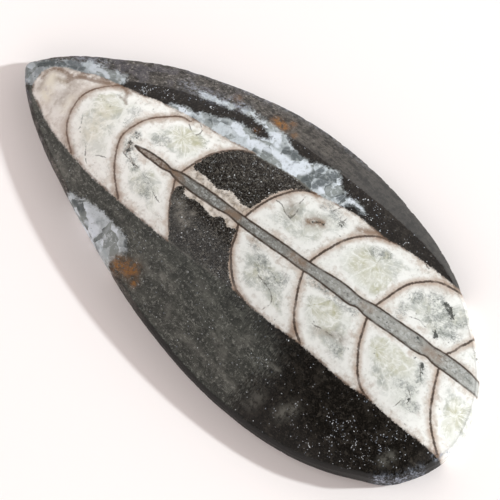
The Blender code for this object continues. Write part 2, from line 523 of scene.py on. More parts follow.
# %% Draw the shell and its tube
SHELL = (
    (-28.3, 0.2), (-28.8, -0.5), (-29.0, -1.6), (-28.8, -2.6), (-28.2, -3.4), (-27.5, -3.7),
    (-26.5, -4.1), (-25.0, -4.7), (-23.0, -5.3), (-21.0, -5.7), (-19.0, -6.0), (-17.0, -6.3),
    (-14.0, -6.4), (-10.0, -6.45), (-5.0, -6.35), (-1.0, -6.1), (3.0, -5.7), (5.0, -5.8), (8.0, -5.7),
    (11.6, -5.4), (13.4, -5.25), (16.9, -5.2), (19.1, -5.1), (20.9, -4.75), (25.0, -4.6), (28.5, -4.1),
    (30.3, -3.9), (34.0, -3.6), (34.0, 4.0), (34.0, 12.0), (24.0, 11.9), (20.3, 11.1), (19.1, 10.95),
    (17.5, 10.8), (15.7, 10.6), (13.9, 10.35), (12.1, 10.0), (10.7, 9.6), (8.4, 9.5), (6.75, 9.3),
    (4.8, 8.85), (3.0, 8.3), (1.2, 8.0), (-0.6, 7.9), (-2.5, 7.5), (-5.0, 7.0), (-6.1, 6.9), (-8.4, 6.25),
    (-11.0, 5.8), (-13.0, 5.5), (-15.0, 5.0), (-17.0, 4.5), (-19.0, 3.8), (-21.0, 3.3), (-22.3, 2.9),
    (-24.2, 2.3), (-25.2, 1.8), (-26.2, 1.3), (-27.2, 0.9),
)
TUBE = (
    (-15.3, -1.02), (-15.2, -1.08), (-14.0, -1.2), (-12.6, -1.12), (-11.3, -1.05), (-10.4, -0.8),
    (-10.0, -0.9), (-8.0, -0.95), (-6.1, -0.8), (-4.0, -0.5), (-2.7, -0.2), (-1.3, -0.2), (1.2, 0.0),
    (3.2, 0.2), (5.0, 0.45), (6.9, 0.6), (8.0, 0.8), (11.6, 1.15), (13.2, 1.3), (13.9, 1.6), (15.1, 1.55),
    (18.7, 2.05), (21.9, 2.55), (22.5, 2.85), (23.5, 2.8), (25.0, 3.05), (26.9, 3.35), (28.7, 3.65),
    (31.5, 3.9), (31.5, 5.0), (27.8, 4.95), (26.9, 5.0), (25.0, 4.8), (23.4, 4.5), (22.3, 4.2),
    (21.0, 4.15), (19.1, 3.8), (16.9, 3.45), (15.1, 3.15), (13.5, 2.7), (11.6, 2.65), (8.5, 2.1),
    (6.9, 1.8), (4.1, 1.5), (1.4, 1.15), (-2.0, 0.75), (-5.0, 0.55), (-8.0, 0.2), (-10.0, -0.2),
    (-10.4, -0.45), (-11.3, -0.35), (-12.6, -0.42), (-14.0, -0.62), (-15.1, -0.95),
)

store("shell", depth_inside(SHELL, x, shell_y))
store("tube", depth_inside(TUBE, x, shell_y))

# %% [markdown]
# ## The walls between the chambers
# Thin curved walls, the septa, divide the shell into chambers. Seven distances would do, but one running
# number is neater: it is a whole number on each wall and rises evenly between two walls. Its nearest
# whole number gives the wall, and its whole part gives the chamber, so each chamber can also have its own
# tint.

# %% Draw the septa, each from the upper shell wall down to the lower
SEPTA = (
    ((-21.3, 3.3), (-21.7, 2.8), (-22.9, 1.3), (-23.4, 0.3), (-23.6, -0.7), (-23.5, -1.7), (-23.1, -3.0),
     (-22.3, -4.2), (-21.3, -5.0), (-20.2, -5.7)),
    ((-12.9, 5.0), (-13.3, 4.9), (-14.1, 4.7), (-15.0, 3.8), (-15.9, 2.8), (-16.6, 1.7), (-16.9, 0.7),
     (-17.1, -0.3), (-17.1, -1.2), (-16.7, -2.2), (-16.0, -3.3), (-15.0, -4.5), (-13.8, -5.5),
     (-12.8, -6.25)),
    ((-4.9, 7.0), (-5.9, 6.7), (-6.8, 6.15), (-7.6, 5.35), (-8.25, 4.5), (-8.7, 3.6), (-9.05, 2.5),
     (-9.3, 1.4), (-9.5, 0.2), (-9.6, -0.5), (-9.4, -1.1), (-8.8, -2.1), (-8.2, -3.1), (-7.4, -4.1),
     (-6.5, -5.1), (-5.2, -6.1)),
    ((2.1, 8.0), (1.3, 7.6), (0.5, 6.8), (-0.1, 5.7), (-0.6, 4.5), (-0.9, 3.4), (-1.1, 2.1), (-1.2, 0.9),
     (-1.2, 0.3), (-1.1, -0.3), (-0.5, -1.25), (0.1, -2.6), (1.1, -3.75), (2.3, -4.8), (3.4, -5.45),
     (4.8, -5.8)),
    ((11.6, 9.85), (10.3, 9.3), (9.4, 8.55), (8.9, 7.95), (8.3, 7.05), (7.8, 5.9), (7.5, 4.6),
     (7.25, 3.4), (7.1, 2.2), (7.1, 1.3), (7.4, 0.45), (8.0, -0.8), (8.9, -2.2), (10.0, -3.7),
     (11.2, -4.65), (12.3, -5.2)),
    ((20.3, 10.8), (19.1, 10.5), (18.2, 10.2), (17.3, 9.55), (16.6, 8.65), (15.95, 7.6), (15.6, 6.3),
     (15.4, 4.7), (15.2, 3.3), (15.2, 2.4), (15.5, 1.5), (16.1, 0.25), (16.8, -1.1), (17.8, -2.4),
     (18.9, -3.6), (20.1, -4.4), (21.4, -4.75)),
    ((24.6, 8.2), (24.4, 6.95), (24.2, 6.3), (24.1, 5.4), (23.8, 4.6), (23.9, 3.6), (24.5, 2.6),
     (25.1, 1.5), (25.9, 0.25), (26.75, -1.0), (27.8, -2.1), (29.1, -3.05), (30.2, -3.7)),
)
SEPTUM_STEPS = 5
# The first and the last chamber have only one septum and count as this long, in millimetres
END_CHAMBER = 8.0

to_septa = []
for corners in SEPTA:
    path = draw_curve(corners, steps=SEPTUM_STEPS)
    rising = path[path[:, 1].argsort()]
    beyond = x > np.interp(shell_y, rising[:, 1], rising[:, 0])
    to_septa.append(np.where(beyond, 1.0, -1.0) * distance_to(path, x, shell_y))
to_septa = np.array([to_septa[0] + END_CHAMBER] + to_septa + [to_septa[-1] - END_CHAMBER])
passed = np.clip((to_septa > 0).sum(axis=0) - 1, 0, len(SEPTA))
everyone = np.arange(count)
behind, ahead = to_septa[passed, everyone], to_septa[passed + 1, everyone]
chamber_span = behind - ahead
chamber = passed + behind / chamber_span
store("chamber", chamber)
store("span", chamber_span)

# %% [markdown]
# ## The chamber that filled with mud
# One chamber broke before it was buried, so dark mud filled it instead of clear calcite. The filling
# stops short of the siphuncle in a wavy line. It is drawn as two closed shapes, one on each side of the
# tube.

# %% Draw the dark filling
MUD_ABOVE = (
    (-9.0, 1.25), (-8.2, 1.2), (-7.2, 1.35), (-5.5, 1.2), (-4.8, 1.6), (-4.2, 1.95), (-2.9, 1.75),
    (-1.5, 1.9), (-1.3, 2.6), (-1.2, 3.6), (-0.95, 4.6), (-0.45, 5.8), (0.3, 6.8), (1.1, 7.5),
    (1.7, 7.95), (0.5, 7.98), (-0.6, 7.9), (-2.5, 7.55), (-5.0, 7.05), (-5.9, 6.7), (-6.8, 6.1),
    (-7.6, 5.3), (-8.2, 4.45), (-8.65, 3.5), (-8.95, 2.4),
)
MUD_BELOW = (
    (-8.3, -1.0), (-7.9, -1.2), (-7.7, -1.55), (-6.6, -1.5), (-6.2, -1.25), (-5.2, -1.3), (-4.6, -1.45),
    (-3.5, -1.35), (-3.2, -0.9), (-2.3, -0.85), (-2.0, -1.2), (-1.4, -1.0), (-0.9, -0.8), (-0.65, -1.3),
    (-0.05, -2.6), (0.5, -3.4), (1.1, -4.1), (2.1, -5.0), (3.0, -5.6), (3.0, -6.6), (-5.0, -6.6),
    (-6.4, -5.2), (-7.3, -4.2), (-8.1, -3.1), (-8.75, -2.1), (-8.6, -1.4),
)

mud = np.maximum(depth_inside(MUD_ABOVE, x, shell_y), depth_inside(MUD_BELOW, x, shell_y))
store("mud", mud)

# %% [markdown]
# ## Veins of calcite in the limestone
# Pale blue-grey calcite grew in cracks of the dark rock beside the shell. The veins are closed shapes
# too. They slant through the stone, so deeper points are moved along a little and the back doesn't repeat
# the face.

# %% Draw the veins
VEIN_SLANT = (0.45, 0.25)
VEINS = (
    ((-13.0, 5.5), (-13.2, 6.3), (-12.2, 6.9), (-11.3, 7.4), (-10.4, 8.1), (-9.2, 8.6), (-8.0, 8.6),
     (-7.0, 8.4), (-6.2, 8.8), (-5.7, 9.5), (-6.5, 9.9), (-8.5, 10.0), (-10.2, 9.8), (-10.6, 10.2),
     (-9.0, 10.5), (-8.0, 10.6), (-6.5, 11.0), (-4.5, 10.8), (-3.0, 10.3), (-1.0, 10.4), (0.2, 11.0),
     (1.0, 11.4), (2.0, 11.5), (3.0, 11.0), (4.0, 10.4), (6.0, 10.5), (7.0, 10.1), (7.2, 9.9), (5.4, 9.9),
     (5.3, 9.2), (4.8, 8.6), (3.0, 7.8), (1.2, 7.4), (-0.6, 7.3), (-5.0, 6.4), (-8.4, 5.7), (-11.0, 5.3)),
    ((-31.0, -2.6), (-29.5, -2.9), (-28.7, -2.4), (-28.6, -0.8), (-28.0, 0.1), (-26.0, 1.0), (-25.0, 1.5),
     (-23.6, 2.1), (-22.2, 2.6), (-21.5, 3.1), (-21.6, 4.1), (-22.6, 4.2), (-23.6, 3.9), (-24.6, 3.6),
     (-25.6, 3.2), (-26.3, 3.2), (-26.5, 2.4), (-27.4, 2.2), (-28.4, 1.2), (-29.4, 0.6), (-30.2, -0.2),
     (-31.0, -0.9)),
    ((-17.7, -9.0), (-16.0, -8.7), (-15.0, -8.4), (-12.0, -8.4), (-10.5, -8.6), (-9.2, -8.9),
     (-8.2, -9.9), (-8.6, -10.4), (-9.0, -11.5), (-9.2, -13.0), (-18.5, -10.5)),
    ((-16.0, 4.8), (-15.2, 5.6), (-14.4, 5.9), (-13.4, 6.0), (-12.9, 5.6), (-13.4, 5.1), (-15.0, 4.8)),
    ((-15.2, 8.3), (-14.2, 8.7), (-12.8, 9.1), (-11.3, 9.6), (-10.8, 9.4), (-11.6, 8.9), (-13.0, 8.5),
     (-14.4, 8.1)),
)

vein_x, vein_y = x - VEIN_SLANT[0] * below, y - VEIN_SLANT[1] * below
vein = np.maximum.reduce([depth_inside(corners, vein_x, vein_y) for corners in VEINS])
store("vein", vein)

# %% [markdown]
# ## Stains and tints
# Iron stained the rock brown in places, and the calcite is greyer or greener here and there. These are
# soft spots and strokes. Each row below holds a mark's half width, its strength and its corners: one corner
# makes a spot and several make a stroke. The calcite's own marks fade out with the depth below the face.

# %% Place the tints of the calcite
TINT_DEPTH = 2.5
GREY = (
    (0.6, 0.9, (-16.1, -0.1)), (0.55, 0.9, (-15.9, -1.4), (-15.2, -2.0), (-13.6, -2.8)),
    (0.8, 0.8, (3.2, -1.5), (5.0, -2.5), (6.3, -1.6)), (0.55, 0.7, (8.4, 0.4), (11.0, 0.7), (14.0, 1.0)),
    (0.6, 0.9, (17.5, 7.4), (17.3, 6.6)), (1.0, 0.9, (19.0, 8.2), (21.0, 7.4), (21.8, 6.3)),
    (0.9, 0.6, (20.0, 6.5), (23.0, 6.6)), (0.6, 0.8, (25.8, 4.7), (27.8, 4.2)), (0.55, 0.9, (17.3, 2.6)),
    (0.4, 0.8, (20.2, 2.9), (20.9, 3.6)), (0.7, 0.6, (24.6, -2.4), (25.4, -2.0)),
    (0.7, 0.6, (-13.3, 1.4), (-14.0, 0.9)), (0.8, 0.55, (-12.0, -3.3), (-10.8, -4.0)),
    (0.7, 0.4, (-18.0, 2.0), (-17.6, 0.2)), (0.7, 0.65, (11.0, 7.6), (12.0, 8.1)),
    (0.8, 0.5, (4.0, 7.7), (6.4, 7.5)), (0.9, 0.6, (15.6, -3.2)), (0.6, 0.6, (23.0, 1.6), (24.0, 0.4)),
    (0.6, 0.5, (1.2, -0.6), (2.2, -0.9)), (0.8, 0.5, (22.6, -1.2), (24.0, -0.9)),
    (0.5, 0.4, (-20.6, 2.2)), (0.6, 0.5, (17.2, 5.4), (17.6, 4.2)), (0.5, 0.5, (22.4, 7.6), (23.0, 8.6)),
)
GREEN = (
    (1.5, 0.9, (-20.8, 0.6)), (1.4, 0.9, (-12.4, 3.2), (-11.0, 3.0)), (1.2, 0.2, (3.6, 3.4)),
    (1.6, 1.0, (10.8, 5.5), (13.2, 5.2)), (1.5, 0.95, (11.5, -0.9), (12.4, -1.2)),
    (1.5, 1.0, (19.0, 0.2), (21.5, 0.4)), (1.2, 0.7, (28.6, 1.0), (29.2, -0.8)), (1.3, 0.6, (4.2, -2.2)),
    (1.3, 0.5, (-19.8, -2.6)), (1.2, 0.4, (21.0, 5.6)), (1.0, 0.4, (-11.6, -2.2)),
    (0.8, 0.5, (12.0, 8.0)), (0.9, 0.5, (-13.0, -3.4)),
)
CREAM = (
    (0.7, 1.0, (-27.7, -0.8), (-27.3, -1.9), (-26.7, -2.9)), (0.3, 0.9, (-26.9, -0.6), (-26.3, -0.5)),
    (0.5, 0.6, (-24.3, -1.4), (-24.2, -2.8)), (1.2, 0.5, (-20.4, -0.6), (-20.0, -3.0)),
)
DARK = (
    (0.5, 1.0, (20.2, 8.7), (20.9, 8.5)), (0.45, 1.0, (21.4, 8.2)), (0.4, 1.0, (21.4, 5.5), (21.8, 5.2)),
    (0.3, 0.9, (15.6, 10.4), (16.0, 10.3)), (0.25, 0.9, (15.3, 9.4)),
    (0.35, 0.8, (-16.2, 0.1), (-15.8, -0.3)), (0.35, 0.8, (-15.9, -1.0), (-15.4, -2.0)),
    (0.3, 0.6, (-9.9, -3.7), (-9.5, -3.9)), (0.3, 0.8, (22.8, 1.9), (23.5, 1.2)),
    (0.35, 0.9, (20.7, 3.8)), (0.4, 0.6, (17.3, 2.6)), (0.25, 0.9, (21.9, 1.9)), (0.2, 0.9, (4.9, -0.5)),
    (0.35, 0.6, (26.5, 6.6), (25.6, 6.9)), (0.3, 0.6, (-14.7, -2.5), (-13.8, -2.7)),
    (0.35, 0.7, (6.2, 7.6), (6.5, 7.2)), (0.26, 0.75, (3.9, 5.1), (4.5, 5.6), (5.3, 6.1)),
    (0.3, 0.6, (23.2, 5.6), (23.0, 7.0)), (0.3, 0.6, (24.0, -1.6), (24.6, -1.9)),
    (0.3, 0.5, (-15.0, 0.1)), (0.4, 0.6, (20.8, 7.6), (21.4, 7.2)), (0.3, 0.5, (18.0, 6.6)),
    (0.3, 0.6, (27.0, 4.3)),
)

fading = np.exp(-below / TINT_DEPTH)
for name, marks in (("grey", GREY), ("green", GREEN), ("cream", CREAM), ("dark", DARK)):
    store(name, blots(marks, x, shell_y) * fading)

# %% Place the stains of the shell
STAIN = (
    (0.5, 0.9, (-28.2, 0.1), (-27.0, 0.4), (-26.2, 0.5), (-25.6, 1.0), (-24.4, 1.8), (-22.6, 2.6)),
    (0.45, 1.0, (-21.8, 3.0), (-21.0, 3.2), (-20.2, 3.1)),
    (0.45, 0.7, (-26.2, 0.3), (-26.4, -0.5), (-27.0, -0.6)),
    (0.35, 0.6, (-28.6, -0.5), (-28.3, -1.5), (-27.9, -2.6)),
    (0.7, 0.5, (-25.3, 0.3), (-25.2, -1.2), (-25.0, -2.4)),
    (0.6, 1.0, (8.2, 8.3), (9.2, 9.0), (9.9, 9.5)), (0.5, 0.8, (10.7, -4.2), (10.9, -5.4)),
    (0.6, 1.1, (3.9, 5.1), (4.5, 5.7), (5.0, 6.0)), (0.5, 1.0, (-10.9, -0.6), (-9.6, -0.5), (-9.0, -0.9)),
    (0.5, 0.9, (-2.9, 0.1), (-1.8, 0.3)), (0.5, 0.8, (5.3, 1.1), (6.8, 1.3)),
    (0.45, 0.5, (14.2, 2.3), (15.2, 2.4)), (0.6, 0.7, (22.2, 3.4), (23.6, 3.7)),
    (0.3, 0.7, (0.4, -3.0), (0.9, -3.7), (1.6, -4.3)), (0.3, 0.9, (-10.5, 6.1), (-8.8, 6.2)),
    (0.3, 0.7, (1.3, 7.9), (2.6, 8.1)), (0.8, 0.5, (0.3, 5.8), (1.2, 5.4), (1.8, 4.6)),
    (0.5, 0.45, (15.6, -2.0), (14.0, -2.4), (12.6, -3.2)), (0.45, 0.35, (19.0, 9.8), (17.0, 8.6)),
)
CONTOURS = (
    (0.34, 0.9, (-28.5, -1.6), (-28.5, -0.6), (-28.1, 0.1), (-27.4, 0.4), (-26.8, 0.5), (-26.2, 0.2),
     (-25.95, -0.3)),
    (0.34, 1.0, (-25.95, -0.3), (-25.8, 0.3), (-25.4, 0.9), (-24.8, 1.3), (-24.0, 1.6), (-23.2, 2.0),
     (-22.5, 2.5)),
    (0.36, 1.0, (-21.4, 3.1), (-20.5, 3.15), (-20.1, 2.7), (-19.8, 2.2), (-19.4, 1.9)),
    (0.3, 0.8, (-20.6, 2.1), (-20.1, 2.0)), (0.32, 0.75, (-15.6, -1.6), (-14.6, -2.4), (-13.4, -2.7)),
    (0.32, 0.8, (-16.4, -0.6), (-15.8, -1.4), (-15.6, -2.3)), (0.34, 0.8, (-15.9, 0.1), (-15.3, -0.2)),
)

store("stain", blots(STAIN, x, shell_y) * fading)
store("contour", blots(CONTOURS, x, shell_y) * fading)

# %% Place the marks of the rock
# The first shape bounds the worn lower side of the rock, where a grey sheen is painted into its colour.
WORN_SHEEN_AREA = (
    (-33.0, -2.0), (-28.0, -2.0), (-22.0, -3.4), (-14.0, -4.8), (-6.0, -5.0), (0.0, -5.2), (5.0, -5.9),
    (9.0, -6.9), (11.5, -8.4), (11.3, -11.0), (10.9, -13.2), (10.5, -17.0), (-20.0, -17.0),
    (-33.0, -10.0),
)
FLECKS = (
    (2.4, 0.85, (20.5, -8.0), (22.5, -9.0), (24.5, -8.5), (25.5, -7.0)), (1.8, 0.5, (17.0, -11.0)),
    (0.9, 1.8, (-19.5, 4.7), (-16.0, 5.4), (-14.0, 6.9), (-11.5, 8.1)),
    (0.9, 1.0, (3.5, 11.2), (8.5, 10.8)), (0.8, 0.5, (8.0, 10.6), (17.0, 11.4)), (1.6, 0.5, (2.0, -9.2)),
    (1.0, 0.6, (8.0, -6.4)), (0.6, 0.8, (-10.5, 9.1), (-6.2, 9.3)), (1.6, 0.6, (-5.5, 5.2), (-1.5, 4.6)),
    (1.2, 0.5, (10.0, -9.5)), (0.6, 1.0, (-6.0, 5.3)), (0.4, 0.9, (-4.5, 4.5)), (0.4, 0.9, (-7.4, -1.3)),
    (0.8, 0.7, (-6.0, -2.8)), (0.8, 0.6, (11.0, -6.0)), (1.0, 0.6, (20.0, -12.0), (25.0, -10.0)),
)
SMOKE = (
    (0.7, 0.8, (16.2, -10.6), (15.5, -11.6)), (0.7, 0.5, (12.6, -11.8), (12.4, -12.8)),
    (0.5, 0.7, (26.7, -8.3), (27.0, -7.3)), (0.6, 0.5, (8.2, -8.2), (7.6, -9.2)),
    (0.4, 0.8, (-3.8, -9.3), (-1.6, -9.5)), (0.4, 0.7, (-7.0, -9.3), (-5.6, -9.5), (-4.6, -9.8)),
    (0.4, 0.5, (-1.0, -11.2), (-0.4, -12.0)), (0.5, 0.9, (-21.2, -6.9), (-20.2, -7.4), (-19.2, -7.8)),
    (0.4, 1.2, (-25.1, -4.6)), (0.5, 0.7, (-28.2, -3.4), (-27.4, -3.7)),
    (0.4, 0.5, (-23.4, -6.4), (-22.4, -6.8)), (0.6, 0.5, (-18.5, -6.6), (-17.8, -7.6)),
    (0.5, 0.5, (5.8, -10.4), (7.0, -11.2)), (0.5, 0.4, (0.0, -7.4), (2.0, -7.8)),
    (0.25, 0.8, (11.5, -8.8), (12.6, -8.75)), (0.6, 0.9, (-7.6, -2.5), (-6.6, -3.3), (-5.4, -3.9)),
    (0.3, 0.9, (-6.6, -3.3), (-5.4, -2.5)), (0.3, 0.5, (1.8, -12.3), (5.9, -12.55), (10.0, -12.7)),
    (0.3, 0.5, (4.7, -10.4), (6.4, -11.2), (7.9, -12.45)),
    (0.3, 0.4, (-12.0, -7.4), (-8.0, -8.0), (-3.0, -8.2)),
)
RUST = (
    (0.75, 1.0, (-8.2, -11.2), (-6.6, -10.8)), (0.4, 0.8, (-5.5, -11.6)),
    (0.55, 1.0, (-6.7, 11.6), (-5.8, 11.5)), (0.4, 0.7, (-5.4, 12.5)), (0.35, 0.6, (-4.3, 11.6)),
    (0.5, 0.3, (-11.6, 10.8)), (0.3, 0.35, (-7.4, 9.1)),
)

store("worn_sheen", depth_inside(WORN_SHEEN_AREA, x, y))
for name, marks in (("flecks", FLECKS), ("smoke", SMOKE), ("rust", RUST)):
    store(name, blots(marks, x, y))

# %% Place the marks of the veins and the chipped edge
BRIGHT = (
    (0.8, 1.0, (-1.2, 8.5), (-0.5, 9.0), (-0.6, 9.7)), (0.7, 0.6, (2.3, 8.9), (3.2, 9.8), (3.3, 10.4)),
    (0.5, 1.0, (-9.4, 8.0), (-8.2, 7.8)), (0.6, 0.8, (-5.4, 10.4), (-4.6, 9.4)),
    (0.7, 0.9, (-4.0, 8.4), (-2.6, 8.5)), (0.5, 1.0, (-25.0, 2.8), (-24.0, 3.2), (-23.0, 2.9)),
    (0.6, 0.9, (-14.0, -10.0), (-12.6, -10.2)), (0.6, 0.7, (-10.4, -9.2), (-9.6, -10.0)),
    (0.35, 0.8, (-14.9, 5.3), (-14.0, 5.5)), (0.5, 0.8, (-30.2, -1.8)),
    (0.3, 0.9, (5.2, 10.1), (6.6, 10.3)), (0.4, 0.5, (-30.4, -2.4), (-29.2, -2.8)),
    (0.5, 0.6, (-15.0, -9.3)), (0.4, 0.6, (-11.6, -9.0), (-11.0, -10.6)),
    (0.7, 1.0, (-6.6, 7.9), (-4.6, 8.3)), (0.4, 0.5, (-6.8, 10.2)),
)
DULL = (
    (0.4, 1.0, (-1.9, 8.2), (-1.9, 9.9)), (0.4, 1.0, (0.4, 8.4), (0.6, 10.6)),
    (0.6, 0.9, (1.5, 8.6), (2.0, 11.0)), (0.6, 0.5, (-11.5, 6.7), (-10.2, 7.3)),
    (0.6, 1.0, (-27.4, 1.7), (-26.4, 1.9)), (0.4, 0.8, (4.2, 9.3), (4.6, 10.2)),
    (0.5, 0.6, (-16.4, -8.9), (-15.4, -9.2)), (0.4, 0.5, (-6.4, 7.2), (-5.6, 7.0)),
    (0.5, 0.9, (-28.6, 0.6), (-28.0, 1.0)), (0.6, 0.9, (-3.4, 9.6), (-2.6, 9.9)),
    (0.35, 0.9, (-29.7, -0.6), (-29.3, 0.4)), (0.5, 0.5, (-12.8, -9.0), (-12.2, -9.4)),
    (0.4, 1.0, (5.4, 9.4), (7.0, 9.7)), (0.4, 0.5, (-25.8, 2.6), (-25.2, 3.2)),
    (0.4, 0.6, (-9.0, -9.0), (-8.4, -9.8)), (0.4, 0.6, (-10.8, 8.2), (-9.8, 8.4)),
    (0.35, 0.6, (-13.6, 5.9), (-13.0, 5.5)), (0.3, 0.6, (-13.6, -10.8), (-11.0, -11.2)),
)
CHIPS = (
    (0.45, 1.0, (27.4, -10.0), (29.0, -8.4), (30.2, -6.0)),
    (0.4, 0.4, (31.0, -2.6), (30.8, -0.5), (30.0, 2.0)), (0.35, 1.3, (30.9, -2.6), (30.3, -4.0)),
    (0.35, 0.5, (-30.8, -2.0), (-29.0, -3.6)),
    (0.35, 0.5, (-18.0, 10.2), (-12.0, 12.3), (-4.0, 14.5), (4.0, 15.0)),
    (0.7, 0.8, (-16.6, 8.0), (-13.6, 8.8), (-11.6, 9.9), (-10.2, 10.3)),
    (0.7, 0.6, (-27.0, 3.0), (-25.0, 4.4)),
)

for name, marks in (("bright", BRIGHT), ("dull", DULL), ("chips", CHIPS)):
    store(name, blots(marks, x, y))

# %% [markdown]
# ## Rays of crystals
# In each half chamber the last crystals to grow radiate from one middle. Noise on the plain place makes
# clouds, but noise on the direction from that middle makes rays. Each corner keeps its direction and its
# way out, with a shift for each half chamber so that no two look alike.

# %% Point each corner away from its chamber's middle
CORES = (
    ((-26.6, -1.2), (-26.6, -1.2)), ((-19.0, 1.4), (-19.0, 1.4)), ((-12.2, 3.0), (-12.4, -2.8)),
    ((-5.0, 4.0), (-3.0, -3.0)), ((4.6, 3.4), (3.8, -2.0)), ((12.0, 6.8), (10.4, -1.5)),
    ((19.8, 6.6), (18.4, -0.4)), ((26.4, 6.4), (28.8, 0.6)),
)
RAY_REACH = 4.0
RAY_LEAST = 0.01
HALF_CHAMBER_SHIFT = 3.7

above = (side_of_axis > 0).astype(int)
core = np.array(CORES)[passed, 1 - above]
ray = np.stack((x, shell_y), axis=1) - core
ray_mm = np.linalg.norm(ray, axis=1, keepdims=True)
half_chamber = (2 * passed + above)[:, None]
way_out = ray_mm / RAY_REACH + HALF_CHAMBER_SHIFT * half_chamber
ray = np.hstack((ray / np.maximum(ray_mm, RAY_LEAST), way_out))
layer = stone_mesh.attributes.new("ray", "FLOAT_VECTOR", "POINT")
layer.data.foreach_set("vector", ray.astype(np.float32).ravel())
print("rays reach", round(float(ray_mm[on_top].max()), 1), "mm")

# %% [markdown]
# ## Hairline cracks
# A few fine cracks cross the pale chambers. A crack is thinner than the net, so its plain distance would
# turn into a row of beads. The side that a point is on is kept as well: the number passes smoothly
# through zero on the crack, and a second, wider distance ends the line where the crack ends.

# %% Draw the cracks
CRACKS = (
    ((-12.8, 4.6), (-12.1, 4.25), (-11.4, 4.2), (-11.25, 4.7), (-11.4, 5.1), (-11.9, 5.4)),
    ((4.2, -2.9), (5.0, -3.0), (6.0, -3.2), (7.1, -4.0), (7.15, -4.6), (7.0, -5.0)),
    ((1.7, 6.8), (1.8, 5.9), (2.2, 5.2), (2.3, 4.1)), ((-0.2, 4.5), (0.6, 4.55), (1.5, 4.1), (2.2, 4.05)),
    ((-22.0, -2.0), (-21.6, -2.6), (-21.3, -3.2)), ((-19.4, -4.3), (-18.9, -4.9), (-18.2, -5.5)),
    ((-10.1, -3.6), (-9.6, -3.8), (-9.2, -3.9)), ((22.9, 1.6), (23.3, 1.2), (23.8, 0.7)),
    ((23.9, -1.2), (24.4, -1.5), (24.6, -2.1)), ((24.0, -2.6), (23.9, -3.3)), ((6.0, 7.7), (6.6, 7.5)),
    ((6.35, 7.1), (6.35, 8.1)), ((4.8, 7.9), (5.0, 8.6), (5.2, 9.4)),
    ((-15.6, -2.4), (-14.4, -2.6), (-13.6, -2.6)), ((-17.7, -4.3), (-17.0, -4.0)),
    ((12.0, -2.9), (13.0, -2.6), (14.0, -2.5)), ((18.6, 4.9), (19.3, 5.3), (20.2, 5.2)),
)
FAR_AWAY = 9.0


def gap_with_side(path, x, y):
    """Distance to a path, negative on its right-hand side."""
    nearest, side = np.full(len(x), np.inf), np.ones(len(x))
    for start, end in zip(path[:-1], path[1:]):
        gap = distance_to((start, end), x, y)
        turn = (end[0] - start[0]) * (y - start[1]) - (end[1] - start[1]) * (x - start[0])
        side = np.where(gap < nearest, np.sign(turn), side)
        nearest = np.minimum(nearest, gap)
    return nearest * side


crack_side = np.full(count, FAR_AWAY)
for corners in CRACKS:
    gap = gap_with_side(draw_curve(corners), x, shell_y)
    crack_side = np.where(np.abs(gap) < np.abs(crack_side), gap, crack_side)
store("crack_side", crack_side)
store("crack_near", np.abs(crack_side) + below)

# %% [markdown]
# ## Where the stone is polished
# The top is polished like glass, the bevel, the wall and the back are only ground. The limit is the
# crease where the dome meets the bevel, or where there is no bevel the foot of the rounded rim. Each
# corner of the net stores how far past that limit it is, so polish and grinding meet in a clean line.

# %% Measure the way past the polish
RIM_ARC = 0.05
LOOP_POINTS = 400

loop = crease_at(np.linspace(0.0, TURN, LOOP_POINTS))[3]
past_edge = np.linalg.norm(place - section_edge, axis=1)
ground = np.where(on_top, -distance_to(loop, x, y), past_edge) - RIM_ARC * (1 - share)
store("ground", ground)

# %% [markdown]
# ## Small helpers for the material
# The material is a net of small nodes: sums, fades, noises and mixes. Written out one by one they would
# fill pages, so each kind gets a helper that makes the node and gives back its output.

# %% Make sums and fades
stone_paint = bpy.data.materials.new("fossil_limestone")
stone_paint.use_nodes = True
tree = stone_paint.node_tree
shader = tree.nodes["Principled BSDF"]
stone_mesh.materials.append(stone_paint)


def calc(operation, *values):
    """One sum on numbers or outputs."""
    return add_node(tree, "Math", values, operation=operation).outputs[0]


def chained(operation, first, *others):
    """The same sum on many values, one after the other."""
    for value in others:
        first = calc(operation, first, value)
    return first


def product(*values):
    return chained("MULTIPLY", *values)


def without(value):
    return calc("SUBTRACT", 1.0, value)


def wandering(value, cloud, reach):
    """A value moved up and down by a noise, by half the reach at most."""
    return calc("ADD", value, product(calc("SUBTRACT", cloud, 0.5), reach))


def fade(value, start, end, low=0.0, high=1.0):
    """A soft change from low to high while the value goes from start to end."""
    inputs = (value, start, end, low, high)
    return add_node(tree, "MapRange", inputs, interpolation_type="SMOOTHSTEP").outputs[0]


def field(name, output="Fac"):
    """A number or a vector stored on the net."""
    return add_node(tree, "Attribute", attribute_name=name).outputs[output]


print("sums ready")

# %% Measure places in millimetres and make noises
MM_PER_METRE = (1000.0, 1000.0, 1000.0)

in_metres = add_node(tree, "TexCoord").outputs["Object"]
at_mm = add_node(tree, "Mapping", {"Vector": in_metres, "Scale": MM_PER_METRE}).outputs["Vector"]


def stretched(scale, turn=0.0, at=at_mm):
    """Places with their own scale on each axis, for streaks and strokes."""
    inputs = {"Vector": at, "Scale": scale, "Rotation": (0.0, 0.0, turn)}
    return add_node(tree, "Mapping", inputs).outputs["Vector"]


def noise(scale, detail=2.0, roughness=0.5, at=at_mm, output="Fac"):
    """Cloudy noise about one half, so many features to the millimetre."""
    inputs = {"Vector": at, "Scale": scale, "Detail": detail, "Roughness": roughness}
    return add_node(tree, "TexNoise", inputs).outputs[output]


def bent(amount, scale, at=at_mm):
    """Places shifted by a noise, which bends straight cell borders."""
    inputs = (noise(scale, at=at, output="Color"), (amount, amount, amount), at)
    return add_node(tree, "VectorMath", inputs, operation="MULTIPLY_ADD").outputs["Vector"]


def crystals(scale, kind="F1", at=at_mm):
    """Voronoi cells, like packed crystals: their distance and their random colours."""
    return add_node(tree, "TexVoronoi", {"Vector": at, "Scale": scale}, feature=kind)


def dice(cells):
    """A random number for each cell."""
    return add_node(tree, "SeparateColor", (cells.outputs["Color"],)).outputs[0]


print("noises ready")

